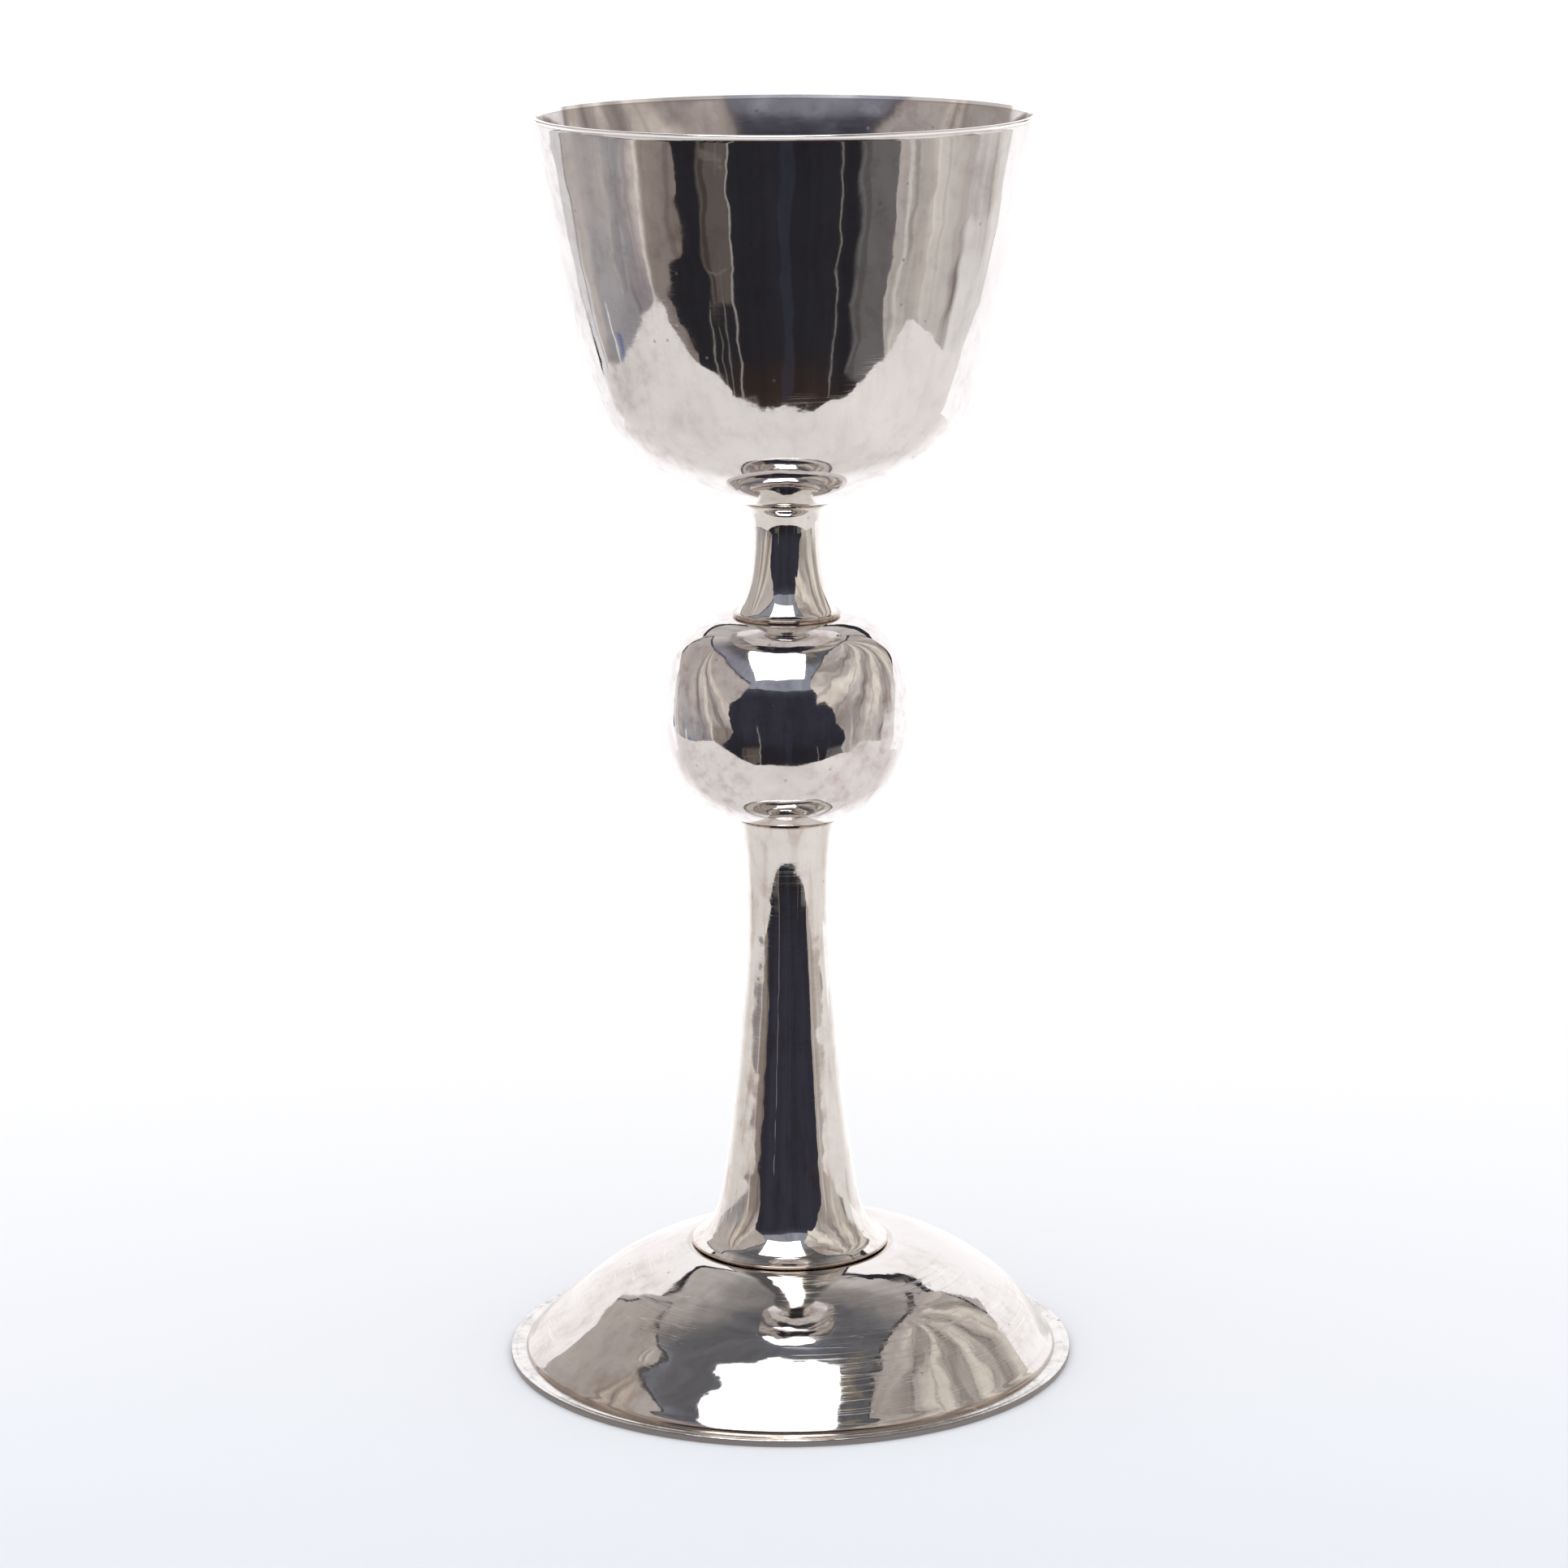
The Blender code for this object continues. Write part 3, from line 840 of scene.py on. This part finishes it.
leftCurtain = {
    "firstEdge": [
        (-44, -50), (-24, -51), (-18.5, -61), (-16, -63), (-13.5, -54), (-10, -49.5), (-5, -51),
        (0, -55), (5, -54), (12, -44), (25, -37), (32, -36),
    ],
    "lastEdge": [
        (-44, -124), (-14, -127), (-8, -131), (-3, -134), (3, -138), (7, -143), (20, -143), (45, -141),
    ],
    "top": [(-150, 38), (-140, 40), (-100, 43), (-85, 43), (-70, 38), (-50, 32), (-36, 25)],
    "gap": [(0, 0)],
    "cloth": (0.55, 0.505, 0.485), "litFold": (0.84, 0.76, 0.67), "shadedCrease": (0.25, 0.21, 0.19),
    "below": (0.245, 0.235, 0.245), "anchor": (112, 46), "foldCount": 19, "foldSpan": (36, 74),
    "creaseShading": 0.75, "seed": 4,
    # what shows on the cloth: middle, half width, from and to elevation, colour, strength
    "things": [
        (-60.5, 12, -32, -6, (0.26, 0.215, 0.195), 0.85),
        (-55, 1.5, -22, -8, (0.16, 0.13, 0.12), 0.6),
        (-97, 19, -28, -4, (0.36, 0.36, 0.39), 0.65),
        (-90, 3.5, -14, -8, (0.26, 0.245, 0.27), 0.5),
        (-77, 4.5, -30, -7, (0.36, 0.31, 0.34), 0.6),
        (-84, 1.6, -24, -13, (0.19, 0.16, 0.19), 0.6),
        (-72.6, 0.7, -24, -6, (0.78, 0.76, 0.76), 0.75),
        (-104, 1.7, -17.5, -14.5, (0.09, 0.15, 0.42), 0.7),
        (-108, 0.7, -16.5, -11.5, (1.0, 1.0, 1.05), 0.85),
        (-130, 11, -30, -6, (0.95, 0.94, 0.97), 0.75),
        (-130, 6.5, -14, 2, (0.90, 0.89, 0.92), 0.8),
        (-123.4, 0.5, -16, 2, (0.20, 0.19, 0.19), 0.7),
    ],
}
rightCurtain = {
    "firstEdge": [
        (-44, 57), (-24, 57), (-17, 52), (-13, 55), (-9, 53), (-5, 45), (0, 43), (10, 35), (15, 28),
        (25, 24), (32, 24),
    ],
    "lastEdge": [
        (-44, 116), (-14, 119), (-8, 123), (-3, 127), (3, 131), (10, 133), (25, 138), (50, 145),
    ],
    "top": [
        (24, 30), (35, 42), (50, 52), (60, 58), (78, 62), (95, 62), (115, 57), (130, 50), (145, 45),
    ],
    "gap": [(0, 0)],
    "cloth": (0.53, 0.48, 0.455), "litFold": (0.88, 0.82, 0.74), "shadedCrease": (0.21, 0.18, 0.165),
    "below": (0.56, 0.52, 0.485), "anchor": (124, 54), "foldCount": 12, "foldSpan": (4, 120),
    "creaseShading": 0.5, "seed": 9,
    "things": [
        (60, 1.2, -30, -5, (0.78, 0.74, 0.70), 0.6),
        (83, 9, -28, -5, (0.62, 0.585, 0.56), 0.6),
        (70, 5, -28, -6, (0.40, 0.37, 0.345), 0.45),
        (71, 0.8, -26, -19.5, (0.16, 0.17, 0.16), 0.6),
        (112, 15, -30, -6, (0.97, 0.95, 0.94), 0.8),
        (124, 6.5, -12, 1, (0.92, 0.90, 0.89), 0.85),
    ],
}
draping = {
    # what both curtains share
    "reach": 530, "lean": 190, "low": -44, "guess": 70, "rounds": 8, "rows": 300, "columns": 420,
    "fineFolds": 2.3, "belowFrom": (-17, -11), "softest": 4, "thickness": (0.4, 0.8),
}
clothEdge = (0.03, 0.03, 0.04)


def drape(sizes, look):
    # from one edge to the other and up to the top of the gap above the cloth; the edges depend on
    # the elevation and the top on the azimuth, so a few rounds settle both
    share, climb = grid((0, 1), (0, 1), sizes["columns"], sizes["rows"])
    low = sizes["low"]
    elevation = low + sizes["guess"] * climb
    for step in range(sizes["rounds"]):
        first = follow(elevation, look["firstEdge"])
        last = follow(elevation, look["lastEdge"])
        azimuth = first + (last - first) * share
        top = follow(azimuth, look["top"]) + follow(azimuth, look["gap"])
        elevation = low + (top - low) * climb
    return share, azimuth, elevation, top, last


def foldCurtain(look, azimuth, elevation):
    # painted light and shade on the cloth: how lit its folds are and how shaded its creases; the folds
    # fan out from one point
    aside = look["anchor"][0] - np.abs(azimuth)
    down = look["anchor"][1] - elevation
    fan = np.degrees(np.arctan2(down, aside))
    away = np.hypot(down, aside)
    wander = drift(azimuth / 17, elevation / 15, look["seed"] + 2)
    low, high = look["foldSpan"]
    lively = fade(fan, low - 7, low + 7) * fall(fan, high - 8, high + 8) * fade(away, 3, 12)
    turn = np.radians(fan) * look["foldCount"]
    broad = np.sin(turn + away / 30 + 0.9 * wander)
    fine = np.sin(turn * draping["fineFolds"] - away / 19 + 1.6 * wander)
    lit = fade(broad, -0.1, 0.95) * 0.85 + fade(fine, 0.4, 1) * 0.3
    creaseShade = fade(-broad, 0.6, 1) * look["creaseShading"] + fade(-fine, 0.8, 1) * 0.4
    return np.clip(lit, 0, 1) * lively, np.clip(creaseShade, 0, 1) * lively


def hangCurtain(name, look):
    # a cloth from its front edge to its back edge, with another colour below, darker along its top and
    # its back edge
    share, azimuth, elevation, top, last = drape(draping, look)
    seed = look["seed"]
    lit, creaseShade = foldCurtain(look, azimuth, elevation)
    # painted light on the folds and painted shade in the creases
    colour = blend(look["cloth"], look["litFold"], lit)
    colour = colour * (1 + 0.1 * drift(azimuth / 10, elevation / 9, seed + 3))[..., None]
    colour = blend(colour, look["shadedCrease"], creaseShade)
    streak = 1 + 0.22 * drift(azimuth / 3.5, elevation / 60, seed + 4)
    under = fall(elevation, *draping["belowFrom"])
    colour = blend(colour, np.array(look["below"]) * streak[..., None], under * 0.9)
    colour = patched(colour, azimuth, elevation, look["things"], draping["softest"], seed + 20)
    ragged = drift(azimuth / 1.8, elevation / 1.8, seed + 1)
    fromTop = top - elevation + 0.5 * ragged
    fromBack = np.abs(last - azimuth) + 0.6 * ragged
    thin, thicker = draping["thickness"]
    thick = thin + thicker * fade(elevation, 4, 10)
    # darker along the back edge and along the top
    backDarkEdge = fall(fromBack / thick, 0.9, 1.35) * (0.4 + 0.6 * fade(elevation, -4, 6))
    darkEdge = np.maximum(fall(fromTop, 1.3, 1.9), backDarkEdge)
    colour = blend(colour, clothEdge, darkEdge * 0.9)
    frayed = ragged * (0.35 + 0.55 * fade(elevation, -12, -2))
    azimuth = azimuth + frayed * fall(share, 0, 0.06)
    reach = draping["reach"] - draping["lean"] * fade(elevation, 5, 35) * fall(share, 0.5, 0.9)
    card(name, sheetAt(azimuth, elevation, reach), colour)


backdrop = {
    "reach": 372, "low": -25, "guess": 55, "rounds": 6, "rows": 140, "columns": 300,
    "firstEdge": [
        (-25, 114), (-10, 117), (-4, 121), (1, 124.5), (4, 125), (6, 129), (9, 136), (45, 138),
    ],
    "lastEdge": [
        (-25, 231), (-4, 230.5), (1, 228.5), (4, 228.5), (5.5, 228), (8, 222), (10, 217), (45, 216),
    ],
    "top": [(124, 29), (155, 30), (165, 29), (180, 25), (195, 27), (228, 28)],
    "gap": [(124, 2), (138, 4), (148, 6.5), (160, 6.5), (172, 4.5), (184, 3), (215, 3), (228, 2)],
    "gapSoftness": 0.3, "cloth": (1.24, 1.22, 1.24),
}


def hangBackdrop():
    # white cloth behind, just out of the picture above, with a dark gap over it
    look = backdrop
    azimuth, elevation, top = drape(look, look)[1:4]
    gap = follow(azimuth, look["gap"])
    soft = look["gapSoftness"]
    over = top - elevation + 0.7 * drift(azimuth / 2.2, elevation / 2.2, 8)
    colour = blend(look["cloth"], clothEdge, fall(over, gap - soft, gap + soft))
    card("backCloth", sheetAt(azimuth, elevation, look["reach"]), colour)


canopy = {
    "low": 14, "rows": 160, "columns": 480, "radius": 1600,
    # colours, and between which azimuths and elevations each begins or ends
    "lower": (0.32, 0.335, 0.40), "upper": (0.15, 0.15, 0.165), "upperFrom": (44, 56),
    "pale": (0.41, 0.385, 0.375), "paleBehind": (100, 138), "paleBelow": (50, 72),
    "palest": (0.62, 0.585, 0.57), "palestBehind": (118, 140), "palestBelow": (47, 55),
    "ceiling": (0.165, 0.175, 0.215), "ceilingFrom": (77, 84), "softest": 0.8,
    "things": [
        (45, 7, 60.5, 69, (0.30, 0.26, 0.19), 0.7),
        (64, 13, 66.5, 70, (0.24, 0.21, 0.17), 0.6),
    ],
}


def raiseCanopy():
    # walls and ceiling over the curtains: dim round the soft box, pale towards the back
    look = canopy
    azimuth, elevation = grid((-180, 180), (look["low"], 90), look["columns"], look["rows"])
    behind = np.abs(azimuth)
    pale = fade(behind, *look["paleBehind"]) * fall(elevation, *look["paleBelow"])
    palest = fade(behind, *look["palestBehind"]) * fall(elevation, *look["palestBelow"])
    colour = blend(look["lower"], look["upper"], fade(elevation, *look["upperFrom"]))
    colour = blend(colour, look["pale"], pale)
    colour = blend(colour, look["palest"], palest)
    colour = blend(colour, look["ceiling"], fade(elevation, *look["ceilingFrom"]))
    streak = 1 + 0.16 * drift(azimuth / 7, elevation / 22, 31)
    streak = streak + 0.07 * drift(azimuth / 1.7, elevation / 30, 32)
    colour = colour * streak[..., None]
    colour = patched(colour, azimuth, elevation, look["things"], look["softest"], 33)
    card("canopy", skyAt(azimuth, elevation, look["radius"], viewedFrom), colour)


darkRoom = {
    "azimuths": (-78, 74), "elevations": (-65, 31), "rows": 320, "columns": 620,
    "reach": 1500, "centre": 200, "softest": 0.8,
    # colours, and between which elevations each begins or ends
    "night": (0.025, 0.024, 0.029), "level": (0.040, 0.039, 0.056), "levelFrom": (-24, -10),
    "dusk": (0.125, 0.135, 0.17), "duskFrom": (10, 27),
    "floor": (0.045, 0.028, 0.022), "floorBelow": (-44, -33), "floorShare": 0.8,
    "things": [
        (1, 3.5, -60, -4, (0.05, 0.055, 0.085), 0.35),
        (-34.5, 8, -28.5, -19.5, (0.135, 0.113, 0.103), 0.9),
        (-39, 1.4, -28, -20, (0.055, 0.047, 0.043), 0.8),
        (-33, 0.5, -28, -23, (0.17, 0.15, 0.14), 0.6),
        (-35, 6, -24.5, -23.9, (0.26, 0.23, 0.21), 0.7),
        (48, 12, -36, -19, (0.165, 0.157, 0.16), 0.95),
        (41, 1.6, -36, -20, (0.10, 0.095, 0.095), 0.8),
        (-43, 0.45, -40, -28, (0.33, 0.30, 0.27), 0.8),
        (-38, 0.4, -41, -30, (0.33, 0.30, 0.27), 0.7),
        (-33, 0.4, -42, -28, (0.33, 0.30, 0.27), 0.7),
        (-27, 0.6, -42, -9, (0.42, 0.39, 0.36), 0.8),
        (28, 0.5, -40, -18, (0.28, 0.26, 0.24), 0.8),
        (22, 1.5, -47, -44, (0.30, 0.02, 0.03), 0.8),
    ],
}


def openDarkRoom():
    # the unlit room towards the camera, with a few dim things in it
    look = darkRoom
    azimuth, elevation = grid(look["azimuths"], look["elevations"], look["columns"], look["rows"])
    colour = blend(look["night"], look["level"], fade(elevation, *look["levelFrom"]))
    colour = blend(colour, look["dusk"], fade(elevation, *look["duskFrom"]))
    low = fall(elevation, *look["floorBelow"]) * look["floorShare"]
    colour = blend(colour, look["floor"], low)
    cloudy = 1 + 0.15 * drift(azimuth / 5, elevation / 18, 51)
    colour = colour * cloudy[..., None]
    colour = patched(colour, azimuth, elevation, look["things"], look["softest"], 17)
    card("darkRoom", sheetAt(azimuth, elevation, look["reach"], look["centre"]), colour)


tableTop = {
    "half": 455, "back": 372, "rows": 260, "columns": 220,
    "front": [
        (-455, -160), (-418, -178), (-350, -192), (-250, -214), (0, -241), (250, -214), (350, -186),
        (430, -172), (455, -150),
    ],
    "near": (0.86, 0.825, 0.81), "far": (1.24, 1.22, 1.24),
    "farAzimuth": (116, 150), "farRadius": (40, 90),
    "ragged": 1.6, "unevenness": 0.035, "brighterRight": 0.07,
}


def layTable():
    # what the silver mirrors from below: a white table top that ends in front and at both sides
    look = tableTop
    x, share = grid((-look["half"], look["half"]), (0, 1), look["columns"], look["rows"])
    front = follow(x, look["front"])
    ragged = look["ragged"] * drift(x / 17, x / 50, 61) * fall(share, 0, 0.05)
    y = front + ragged + (look["back"] - front) * share
    azimuth = np.degrees(np.arctan2(np.abs(x), -y))
    toBack = fade(azimuth, *look["farAzimuth"]) * fade(np.hypot(x, y), *look["farRadius"])
    # painted shade: the table is darker in front and at both sides, where the curtains shade it, and
    # brighter behind
    colour = blend(look["near"], look["far"], toBack)
    uneven = look["unevenness"] * drift(x / 60, y / 60, 44)
    colour = colour * (1 + uneven + look["brighterRight"] * fade(x, 20, 200))[..., None]
    card("tableTop", np.stack([x, y, np.zeros(x.shape)], axis=-1) * mm, colour)


softBox = {
    # corners as azimuth and elevation: lower left, lower right, upper right, upper left
    "corners": [(-34.5, 28), (18, 32), (47, 71), (-75, 63)], "centre": (-21, 58), "reach": 1200,
    "light": (5.0, 4.95, 4.9), "rim": (0.5, 0.52, 0.56), "frame": 0.035, "points": 60,
}


def hangSoftBox():
    # a square of light above the camera
    look = softBox
    middle = skyAt(*look["centre"], 1)
    corners = []
    for azimuth, elevation in look["corners"]:
        towards = skyAt(azimuth, elevation, 1)
        corners.append(towards / np.dot(towards, middle) * np.dot(middle, middle) * look["reach"])
    corners = np.array(corners) + np.array((0, 0, viewedFrom * mm))
    across, up = grid((0, 1), (0, 1), look["points"], look["points"])
    back, down = 1 - across, 1 - up
    weights = np.stack([back * down, across * down, across * up, back * up], axis=-1)
    toEdge = np.minimum(np.minimum(across, back), np.minimum(up, down))
    colour = blend(look["rim"], look["light"], fade(toEdge, 0, look["frame"]))
    card("softBox", weights @ corners, colour)


room = {
    # lengths in metres; the stops run over depth, from in front of the chalice to behind it, and paint
    # the floor darker in front and lighter behind, where more light falls
    "corner": 6.0, "depthFrom": -0.15, "depthTo": 0.25,
    "stops": [
        (0, (0.652, 0.680, 0.724)),
        (0.2175, (0.696, 0.716, 0.757)),
        (0.4975, (0.738, 0.745, 0.779)),
        (0.665, (0.760, 0.765, 0.786)),
        (0.895, (0.786, 0.786, 0.795)),
    ],
    "paper": (0.70, 0.71, 0.73), "paperScale": 700, "paperShare": 0.01, "floorRough": 0.9,
    # spheres round it all, their radii in millimetres
    "columns": 49, "rows": 14, "lowest": -2,
    "skyRadius": 7500, "skyLight": 1.3, "whiteRadius": 5800, "white": 0.991,
    "world": (0.03, 0.03, 0.042),
}


def floorMaterial():
    material, start = newMaterial("paleFloor")
    shader = start.tree.nodes["Principled BSDF"]
    place = start.node("ShaderNodeTexCoord", {}, {}, "Object")
    depth = start.node("ShaderNodeSeparateXYZ", {}, {"Vector": place}, "Y")
    reach = {"Value": depth, "From Min": room["depthFrom"], "From Max": room["depthTo"]}
    share = start.node("ShaderNodeMapRange", {}, reach)
    colour = share.node("ShaderNodeValToRGB", {"stops": room["stops"]}, {"Fac": share}, "Color")
    paper = place.grain(room["paperScale"], 3, 0.6).between(0.3, 0.7) * room["paperShare"]
    colour = paper.tinted(colour, rgb(*room["paper"]))
    colour.into(shader, "Base Color")
    shader.inputs["Roughness"].default_value = room["floorRough"]
    shader.inputs["Specular IOR Level"].default_value = 0
    return material


def layFloor():
    far = room["corner"]
    corners = [(-far, -far, 0), (far, -far, 0), (far, far, 0), (-far, far, 0)]
    mesh = bpy.data.meshes.new("floor")
    mesh.from_pydata(corners, [], [(0, 1, 2, 3)])
    mesh.materials.append(floorMaterial())
    floor = newObject("floor", mesh)
    floor.visible_glossy = False


def raiseSky():
    # soft light on the floor, and the white that the camera sees behind it
    around = (room["lowest"], 90)
    azimuth, elevation = grid((-180, 180), around, room["columns"], room["rows"])
    over = skyAt(azimuth, elevation, room["skyRadius"])
    card("skyLight", over, np.full(over.shape, room["skyLight"]), "diffuse")
    back = skyAt(azimuth, elevation, room["whiteRadius"])
    card("whiteBack", back, np.full(back.shape, room["white"]), "camera")


def makeWorld():
    world = bpy.data.worlds.new("studio")
    world.use_nodes = True
    world.node_tree.nodes["Background"].inputs["Color"].default_value = rgb(*room["world"])
    bpy.context.scene.world = world


view = {
    # in front and a little above, where the rim and the foot show as in the picture
    "place": (-0.0007, -0.87605, 0.31707), "down": 12.93, "roll": -0.3, "lens": 105.6, "sensor": 36,
    "nearest": 0.05, "farthest": 50,
}


def placeCamera():
    lens = bpy.data.cameras.new("camera")
    lens.sensor_width = view["sensor"]
    lens.lens = view["lens"]
    lens.clip_start = view["nearest"]
    lens.clip_end = view["farthest"]
    camera = newObject("camera", lens)
    pitch = Matrix.Rotation(math.radians(90 - view["down"]), 4, "X")
    roll = Matrix.Rotation(math.radians(view["roll"]), 4, "Z")
    camera.matrix_world = Matrix.Translation(view["place"]) @ pitch @ roll
    bpy.context.scene.camera = camera


hangCurtain("curtainLeft", leftCurtain)
hangCurtain("curtainRight", rightCurtain)
hangBackdrop()
raiseCanopy()
openDarkRoom()
layTable()
hangSoftBox()
print("studio hung")
layFloor()
raiseSky()
makeWorld()
placeCamera()
bpy.context.scene.view_settings.view_transform = "Standard"
print("camera set")
